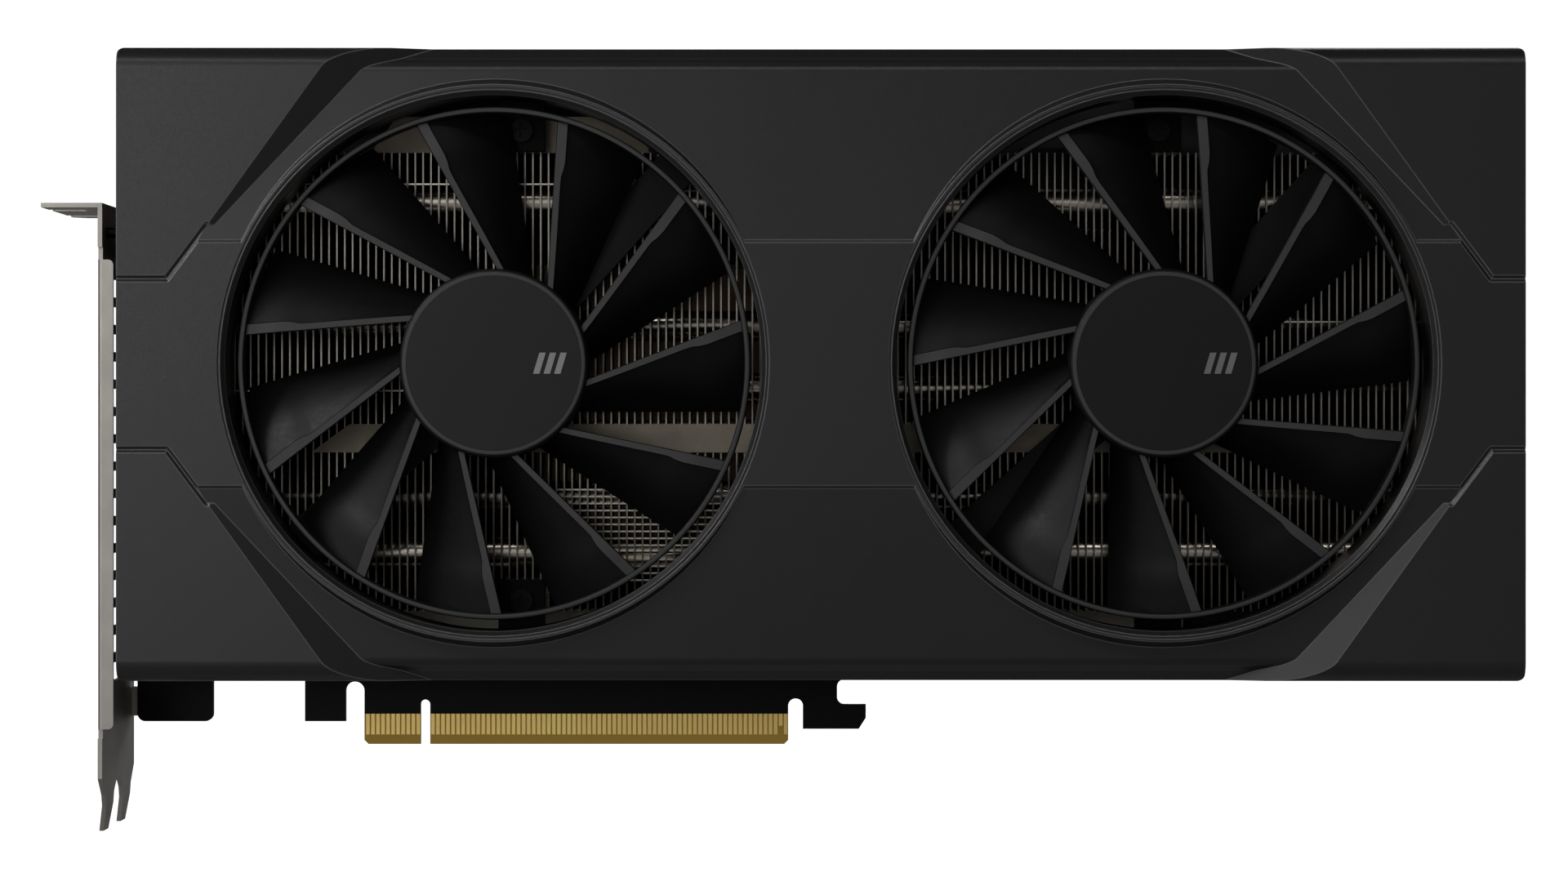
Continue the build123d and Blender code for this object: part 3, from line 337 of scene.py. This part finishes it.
def matt_metal(name, colour):
    """Bead-blasted casting: metal with a fine dull grain."""
    s = Surface(name, metallic=0.75)
    s.colour(s.noise(120.0, 4.0), varied(colour, 0.08))
    s.roughness(s.noise(500.0, 3.0), 0.5, 0.62)
    s.bump((s.noise(3000.0, 3.0, 0.6), 15 * MICRON))
    return s


# --- Surfaces with their own markings, painted highlights and painted shade --------------------
# Painted shade over the shroud's hollow, in the part's own frame: it starts and is complete at these
# depths.
PAINTED_SHADE_X, PAINTED_SHADE_Z = (-54.6 * MM, 210.9 * MM), (15.4 * MM, 134.0 * MM)
PAINTED_SHADE_Y = (-30.2 * MM, -28.5 * MM)
# The gold-brown tongue of the board.
TONGUE_X, TONGUE_Z = (-12.15 * MM, 72.05 * MM), (-1.0 * MM, 6.0 * MM)
# Depths between which the fins are painted darker behind their cut front edges, then into deep painted
# shade between the fins.
FIN_EDGE_Y, FIN_GAP_SHADE_Y = (-18.78 * MM, -18.2 * MM), (-18.2 * MM, -12.0 * MM)
# Heights between which painted shade grows on the fins, from the top down.
FIN_LOW_SHADE_Z = (66 * MM, 36 * MM)
# How squarely a fan's crest faces forwards where its painted highlight starts and is complete.
CREST_HIGHLIGHT_FACING = (0.93, 0.99)
# Facing between which the board's surface counts as a cut edge.
EDGE_FACING = (-0.5, 0.5)
# The shroud's edge rounding, which also bounds its painted highlight, and the reflection kept in its
# painted shade.
SHROUD_ROUND, PAINTED_SHADE_GLOSS = 0.3 * MM, 0.05


def shroud_plastic():
    """Moulded shroud: a painted highlight along its crisp edges and painted shade over its hollow, with
    its reflection dulled.
    """
    s = moulded("shroud_plastic", (0.013, 0.013, 0.0135), (0.3, 0.38))
    # Painted highlight: the shroud's edges, within the rounding radius, are painted lighter.
    s.repaint(s.rounded_edges(SHROUD_ROUND), (0.12, 0.12, 0.121))
    across = s.between(s.axis("X"), *PAINTED_SHADE_X)
    upright = s.between(s.axis("Z"), *PAINTED_SHADE_Z)
    # Painted shade: the shroud's hollow behind its front is painted near black and its reflection is
    # dulled.
    shaded_hollow = s.all_of(s.rise(s.axis("Y"), *PAINTED_SHADE_Y), across, upright)
    s.repaint(shaded_hollow, grey(0.0015))
    s.dull(shaded_hollow, PAINTED_SHADE_GLOSS)
    return s


def fan_plastic():
    """Moulded fan whose crests, facing forwards, carry a painted highlight that makes them lighter than
    the blades.
    """
    s = moulded("fan_plastic", (0.0045, 0.0045, 0.0048), (0.42, 0.54), 2200.0, 20 * MICRON, 0.22)
    forward = s.math("MULTIPLY", s.axis("Y", "Normal"), -1.0)
    # Painted highlight: the faces of the crests that look forwards are painted lighter.
    s.repaint(s.rise(forward, *CREST_HIGHLIGHT_FACING), (0.052, 0.052, 0.0525))
    return s


def board_mask():
    """Black solder mask over a gold-brown tongue and brown cut edges."""
    s = moulded("board_mask", (0.0025, 0.0025, 0.003), (0.3, 0.42), 1200.0, 4 * MICRON, 0.12)
    s.repaint(s.between(s.axis("Y", "Normal"), *EDGE_FACING), (0.3, 0.19, 0.05))
    tongue = s.all_of(s.between(s.axis("X"), *TONGUE_X), s.between(s.axis("Z"), *TONGUE_Z))
    s.repaint(tongue, (0.62, 0.39, 0.075))
    return s


def fin_metal():
    """Rolled aluminium, its own colour on the cut front edges, with painted shade low down and between the
    fins.
    """
    s = Surface("fin_aluminium", metallic=1.0)
    s.colour(s.noise(60.0, 4.0), varied((0.34, 0.318, 0.28), 0.12))
    s.roughness(s.noise(140.0, 5.0, 0.6), 0.34, 0.5)
    s.bump((s.noise(900.0, 2.0, 0.5, (1, 1, 6)), 6 * MICRON))
    # Painted shade: the fins are painted darker towards the bottom.
    below = s.math("MULTIPLY", s.axis("Z"), -1.0)
    s.repaint(s.rise(below, *(-z for z in FIN_LOW_SHADE_Z)), (0.12, 0.108, 0.09))
    # Painted shade: the fins darken behind their front edges and go near black between one another.
    s.repaint(s.rise(s.axis("Y"), *FIN_EDGE_Y), (0.09, 0.078, 0.062))
    s.repaint(s.rise(s.axis("Y"), *FIN_GAP_SHADE_Y), (0.03, 0.025, 0.02))
    return s


# --- Materials for each slot -------------------------------------------------------------------
PLASTICS = {
    "frame_plastic": dict(colour=grey(0.002), rough=(0.45, 0.6), specular=0.2),
    "cap_film": dict(
        colour=(0.0065, 0.0065, 0.007), rough=(0.3, 0.4), grain=5200.0, depth=3 * MICRON, specular=0.3,
    ),
    "black_nylon": dict(colour=grey(0.006), rough=(0.4, 0.55), specular=0.3),
    "backplate_black": dict(
        colour=(0.012, 0.012, 0.0125), rough=(0.38, 0.5), grain=3200.0, depth=10 * MICRON,
    ),
    "lead_jacket": dict(colour=grey(0.006)),
}
METALS = {
    "mark_grey": dict(colour=grey(0.27), rough=(0.4, 0.5)),
    "screw_steel": dict(colour=(0.009, 0.009, 0.0095), rough=(0.3, 0.45), grain=1500.0, stretch=(1, 1, 1)),
    "contact_gold": dict(colour=(1.0, 0.72, 0.25), rough=(0.3, 0.42)),
    "silicon": dict(colour=(0.3, 0.3, 0.33), rough=(0.08, 0.15)),
    "can_aluminium": dict(colour=grey(0.7)),
    "pin_brass": dict(colour=(0.75, 0.66, 0.45)),
    "socket_steel": dict(colour=(0.6, 0.58, 0.55)),
    "bracket_nickel": dict(colour=(0.4, 0.375, 0.345), rough=(0.38, 0.52), grain=700.0, stretch=(1, 9, 1)),
    "plate_copper": dict(colour=(0.16, 0.11, 0.08), rough=(0.35, 0.5)),
    "pipe_nickel": dict(colour=(0.55, 0.5, 0.43), rough=(0.16, 0.26), grain=1400.0, stretch=(0.2, 1, 1)),
    "spring_steel": dict(colour=grey(0.5)),
    "yoke_steel": dict(colour=grey(0.4)),
    "shaft_steel": dict(colour=grey(0.65)),
    "bearing_brass": dict(colour=(0.7, 0.5, 0.25)),
    "winding_copper": dict(colour=(0.75, 0.33, 0.13)),
}
MATT_PARTS = {
    "package_laminate": dict(colour=(0.02, 0.08, 0.04)),
    "chip_epoxy": dict(colour=grey(0.015)),
    "thermal_pad": dict(colour=(0.35, 0.38, 0.42), rough=(0.7, 0.85)),
    "ferrite": dict(colour=grey(0.09)),
    "magnet_ferrite": dict(colour=grey(0.05)),
    "motor_laminate": dict(colour=(0.02, 0.09, 0.04)),
}
CASTINGS = {
    "cover_aluminium": dict(colour=(0.25, 0.22, 0.175)),
    "cast_aluminium": dict(colour=(0.62, 0.57, 0.5)),
}
KINDS = ((moulded, PLASTICS), (plated, METALS), (matt_part, MATT_PARTS), (matt_metal, CASTINGS))


def slot_materials():
    """One material for each material slot of the record."""
    made = {
        "shroud_plastic": shroud_plastic().material,
        "fan_plastic": fan_plastic().material,
        "board_mask": board_mask().material,
        "fin_aluminium": fin_metal().material,
    }
    for make, table in KINDS:
        for name, looks in table.items():
            made[name] = make(name, **looks).material
    return made


def paint_nodes(materials):
    """Gives every CAD node the material of its slot."""
    for entry in frame["record"]["subparts"]:
        node = nodes[entry["node"]]
        node.data.materials.clear()
        node.data.materials.append(materials[entry["material_slot"]])


# --- Sizes read from the frame -----------------------------------------------------------------
HUB = {side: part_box(f"{side}_hub_cap") for side in SIDES}
CENTRE = {side: (low + high) / 2 for side, (low, high) in HUB.items()}
RING = {side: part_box(f"{side}_impeller") for side in SIDES}


# --- Impellers ---------------------------------------------------------------------------------
BLADES = 11
PITCH = 2 * math.pi / BLADES
TIP_ANGLE = {"left": 10.0, "right": 17.1}
# The leading edges are straight lines that pass the fan's middle at this distance.
EDGE_OFFSET = 9.2 * MM
WRAP = math.radians(21.0)
STATIONS, CHORD_STEPS = 22, 12
IN_HUB, IN_RING = 0.9 * MM, 0.8 * MM
# Depth of a blade's leading edge behind the fan's front, and how much it falls back near the tip.
SET_BACK, TIP_SET_BACK, SET_BACK_GROWS = 0.95 * MM, 0.75 * MM, (0.8, 1.0)
# The raised rib along the leading edge: its two widths and where it widens, then its rise, rounded
# corners and depth, and the share of the rise at which its back ends.
RIB, RIB_TIP, RIB_GROWS = 1.5 * MM, 2.2 * MM, (0.66, 0.74)
RIB_STEP, RIB_LIP, RIB_BACK, RIB_FOOT = 0.45 * MM, 0.16 * MM, 1.7 * MM, 0.8
# Fall of a blade from its rib to its trailing edge, less at the tip; part of it is even, the rest a curve.
FALL, FALL_LOSS = 10.2 * MM, 1.2 * MM
EVEN_SHARE, CURVED_SHARE, CURVE_POWER = 0.52, 0.48, 2.2
# Thickness, less at the trailing edge, and how far the back face lags behind, as a share of it.
THICK, THICK_LOSS, BACK_LAG = 1.5 * MM, 0.75 * MM, 0.25
HUB_TO_RING = 30.8 * MM
HUB_RIM, HUB_WALL, BORE, CAP_GAP = 0.9 * MM, 1.4 * MM, 0.3 * MM, 0.05 * MM
RING_NEAR, RING_FAR, RING_HALF, RING_ROUND = 0.9 * MM, 4.7 * MM, 0.6 * MM, 0.35 * MM
RING_STEPS, FAN_CREASE = 220, 38


def fan_levels(side):
    """Radii and depths of the fan, worked out from its CAD box."""
    low, high = RING[side]
    outer = (high.x - low.x) / 2
    return {"outer": outer, "front": low.y, "back": high.y, "hub": outer - HUB_TO_RING}


def grown(share, start, end):
    """0 before the start, 1 after the end and an even rise between them."""
    return min(1.0, max(0.0, (share - start) / (end - start)))


def edge_turn(radius, outer):
    """Angle that the leading edge has still to turn before it meets the ring."""
    return math.acos(EDGE_OFFSET / radius) - math.acos(EDGE_OFFSET / outer)


def blade_profile(radius, share):
    """Section of a blade as (angle behind the leading edge, depth behind the fan's front)."""
    front = SET_BACK + TIP_SET_BACK * grown(share, *SET_BACK_GROWS)
    rib = (RIB + (RIB_TIP - RIB) * grown(share, *RIB_GROWS)) / radius
    lip = RIB_LIP / radius
    crest = [(0.0, front + RIB_BACK), (0.0, front + RIB_LIP), (lip, front)]
    crest += [(rib - lip, front), (rib, front + RIB_LIP), (rib, front + RIB_STEP * RIB_FOOT)]
    fall = FALL - FALL_LOSS * share
    upper, lower = [], []
    for k in range(CHORD_STEPS + 1):
        s = k / CHORD_STEPS
        angle = rib + (WRAP - rib) * s
        depth = front + RIB_STEP + fall * (EVEN_SHARE * s + CURVED_SHARE * s**CURVE_POWER)
        thick = THICK - THICK_LOSS * s
        upper.append((angle, depth))
        lower.append((angle - BACK_LAG * thick / radius, depth + thick))
    return crest + upper[1:] + lower[:0:-1]


def make_blade(name, centre, tip, levels):
    """One swept blade with a raised rib along its leading edge."""
    inner, outer = levels["hub"] - IN_HUB, levels["outer"] - IN_RING
    verts, faces = [], []
    for i in range(STATIONS):
        share = i / (STATIONS - 1)
        radius = inner + (outer - inner) * share
        lead = tip + edge_turn(radius, outer)
        profile = blade_profile(radius, share)
        for angle, depth in profile:
            x, z = radius * math.cos(lead - angle), radius * math.sin(lead - angle)
            verts.append((centre.x + x, levels["front"] + depth, centre.z + z))
    count = len(profile)
    for i in range(STATIONS - 1):
        this, after = i * count, (i + 1) * count
        for k in range(count):
            n = (k + 1) % count
            faces.append((this + k, this + n, after + n, after + k))
    last = (STATIONS - 1) * count
    faces.append(tuple(range(count)))
    faces.append(tuple(last + k for k in reversed(range(count))))
    return new_piece(name, verts, faces)


def arc(middle, radius, start, end, steps=6):
    """Points of a round corner in a (radius, y) profile."""
    turns = [math.radians(start + (end - start) * i / steps) for i in range(steps + 1)]
    return [(middle[0] + radius * math.cos(a), middle[1] + radius * math.sin(a)) for a in turns]


def hub_profile(side, levels):
    """Section of the hub, with a seat for its cap and a round rim."""
    low, high = HUB[side]
    hub, front, back = levels["hub"], levels["front"], levels["back"]
    cap = high.x - CENTRE[side].x + CAP_GAP
    seat = front + high.y - low.y
    profile = [(BORE, seat), (cap, seat), (cap, front)]
    profile += arc((hub - HUB_RIM, front + HUB_RIM), HUB_RIM, -90, 0)
    profile += [(hub, back), (hub - HUB_WALL, back), (hub - HUB_WALL, front + HUB_WALL)]
    return profile + [(BORE, front + HUB_WALL)]


def ring_profile(levels):
    """Section of the ring round the blades' tips, with a rounded front edge."""
    middle, near = levels["outer"] - RING_HALF, levels["front"] + RING_NEAR
    far, flat = levels["front"] + RING_FAR, RING_HALF - RING_ROUND
    crest = arc((middle, near + RING_ROUND), RING_ROUND, -180, 0, steps=8)
    profile = [(radius + (flat if radius > middle else -flat), y) for radius, y in crest]
    return profile + [(levels["outer"], far), (levels["outer"] - 2 * RING_HALF, far)]


def make_impeller(side, material):
    """Hub with a rounded rim, eleven blades and the ring round their tips."""
    levels, centre = fan_levels(side), CENTRE[side]
    pieces = [
        lathe("hub", hub_profile(side, levels), centre),
        lathe("ring", ring_profile(levels), centre, RING_STEPS),
    ]
    for i in range(BLADES):
        tip = math.radians(TIP_ANGLE[side]) + i * PITCH
        pieces.append(make_blade(f"blade_{i}", centre, tip, levels))
    fan = soften(join(f"{side}_fan_wheel", pieces), FAN_CREASE)
    return dress(fan, material, f"{side}_fan", "fan_plastic", f"{side}_impeller")


# --- Heatsink details --------------------------------------------------------------------------
FIN_PITCH, FIN_T = 1.52 * MM, 0.3 * MM
LIP_T, LIP_DEPTH, LIP_SET_BACK, LIP_GAP = 0.3 * MM, 1.2 * MM, 0.05 * MM, 0.02 * MM
# Heights of the rows of lips, as shares of the stack's own height.
LIP_ROWS = {"left": (0.128, 0.48, 0.93), "right": (0.128, 0.63)}
LOUVRE_X, LOUVRE_Z, LOUVRE_STEP = (26 * MM, 58 * MM), (33 * MM, 52 * MM), 1.35 * MM


def fin_starts(side):
    """Left faces of the fins of one stack."""
    low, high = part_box(f"{side}_fin_stack")
    return [low.x + i * FIN_PITCH for i in range(int((high.x - low.x) / FIN_PITCH))]


def lip_row(xs, near, z):
    """Short folded lips from fin to fin at one height, each by its two corners."""
    rows = []
    for x in xs:
        start = (x + FIN_T, near + LIP_SET_BACK, z)
        rows.append((start, (x + FIN_PITCH - LIP_GAP, near + LIP_DEPTH, z + LIP_T)))
    return rows


def louvres(xs, near):
    """The patch of closely spaced lips in the left stack."""
    left, right = LOUVRE_X
    bottom, top = LOUVRE_Z
    patch = [x for x in xs if left < x < right]
    rows = []
    for i in range(int((top - bottom) / LOUVRE_STEP)):
        rows += lip_row(patch, near, bottom + i * LOUVRE_STEP)
    return rows


def make_lips(side, material):
    """Folded lips that tie neighbouring fins together, densest in the left stack's lower corner."""
    low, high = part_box(f"{side}_fin_stack")
    xs = fin_starts(side)
    boxes = []
    for share in LIP_ROWS[side]:
        boxes += lip_row(xs, low.y, low.z + (high.z - low.z) * share)
    if side == "left":
        boxes += louvres(xs, low.y)
    return dress(bars(f"{side}_fin_lips", boxes), material, "card", "fin_aluminium")


# --- Studio ------------------------------------------------------------------------------------
LENS, SENSOR = 95.0, 36.0
CAMERA = Vector((71.16 * MM, -821.1 * MM, 60.12 * MM))
CARD_MIDDLE = Vector(sum(corner[k] for corner in cad_box) / 2 for k in range(3))
# The floor's wash looks at this place, in front of the bracket's side.
WASH_SPOT = Vector((-0.08, -0.26, 0))
FLOOR_DROP, FLOOR_REACH = 1.0 * MM, 6.0
SEEN_LIGHT, FELT_LIGHT = 1.05, 0.04


def make_camera():
    """A long lens, level and square to the card's face."""
    data = bpy.data.cameras.new("camera")
    data.lens, data.sensor_width = LENS, SENSOR
    data.clip_start, data.clip_end = 0.01, 20.0
    camera = add_object("camera", data)
    camera.location = CAMERA
    camera.rotation_euler = (math.pi / 2, 0, 0)
    bpy.context.scene.camera = camera


def softbox(name, azimuth, elevation, distance, size, radiance, aim=CARD_MIDDLE):
    """A rectangular lamp that looks at the card's middle or at another point.

    Azimuth 0 is in front of the card and grows to the right."""
    a, e = math.radians(azimuth), math.radians(elevation)
    away = Vector((math.sin(a) * math.cos(e), -math.cos(a) * math.cos(e), math.sin(e)))
    data = bpy.data.lights.new(name, "AREA")
    data.shape, data.size, data.size_y = "RECTANGLE", size[0], size[1]
    data.energy = math.pi * size[0] * size[1] * radiance
    lamp = add_object(name, data)
    lamp.location = aim + away * distance
    lamp.rotation_euler = (-away).to_track_quat("-Z", "Y").to_euler()


def make_world():
    """White to the eye and a dim grey to every other ray."""
    world = bpy.data.worlds.new("studio")
    bpy.context.scene.world = world
    world.use_nodes = True
    tree = world.node_tree
    tree.nodes.clear()
    seen, felt = tree.nodes.new("ShaderNodeBackground"), tree.nodes.new("ShaderNodeBackground")
    seen.inputs["Color"].default_value = (1, 1, 1, 1)
    seen.inputs["Strength"].default_value = SEEN_LIGHT
    felt.inputs["Color"].default_value = (0.95, 0.97, 1.0, 1)
    felt.inputs["Strength"].default_value = FELT_LIGHT
    path, mix = tree.nodes.new("ShaderNodeLightPath"), tree.nodes.new("ShaderNodeMixShader")
    out = tree.nodes.new("ShaderNodeOutputWorld")
    tree.links.new(path.outputs["Is Camera Ray"], mix.inputs["Fac"])
    tree.links.new(felt.outputs["Background"], mix.inputs[1])
    tree.links.new(seen.outputs["Background"], mix.inputs[2])
    tree.links.new(mix.outputs["Shader"], out.inputs["Surface"])


def make_floor():
    """Plain white floor below the bracket's feet, lit from within for the eye alone."""
    z, far = cad_box[0][2] - FLOOR_DROP, FLOOR_REACH
    corners = [(-far, -far, z), (far, -far, z), (far, far, z), (-far, far, z)]
    floor = new_piece("floor", corners, [(0, 1, 2, 3)], smooth=False)
    surface = Surface("floor_paper", specular=0.0)
    surface.colour(surface.noise(2.0), [(0.0, 0.36), (1.0, 0.4)])
    surface.shader.inputs["Roughness"].default_value = 0.9
    surface.shader.inputs["Emission Color"].default_value = (1, 1, 1, 1)
    path = surface.node("ShaderNodeLightPath")
    surface.link(path.outputs["Is Camera Ray"], surface.shader.inputs["Emission Strength"])
    floor.data.materials.append(surface.material)


def make_studio():
    """A broad key on the left, a dimmer front, a strip above, a wash on the floor, a lamp behind."""
    make_camera()
    make_world()
    make_floor()
    softbox("key", -31, 3, 1.6, (1.25, 1.1), 2.1)
    softbox("front", 7, 0, 1.6, (0.8, 0.9), 0.3)
    softbox("strip", -4, 45, 1.6, (1.8, 0.2), 3.2)
    softbox("floor_wash", -76, 48, 0.7, (0.25, 0.25), 13.0, WASH_SPOT)
    softbox("rear", 160, 24, 1.6, (1.4, 0.8), 1.9)
    bpy.context.scene.view_settings.view_transform = "Standard"


# --- Build -------------------------------------------------------------------------------------
def main():
    """Materials on the CAD nodes, then the finer pieces, then the studio."""
    materials = slot_materials()
    paint_nodes(materials)
    lip_metal = plated("fin_lips", (0.5, 0.47, 0.42), (0.2, 0.32), 1400.0, (0.2, 1, 1)).material
    for side in SIDES:
        make_impeller(side, materials["fan_plastic"])
        make_lips(side, lip_metal)
    make_studio()


main()
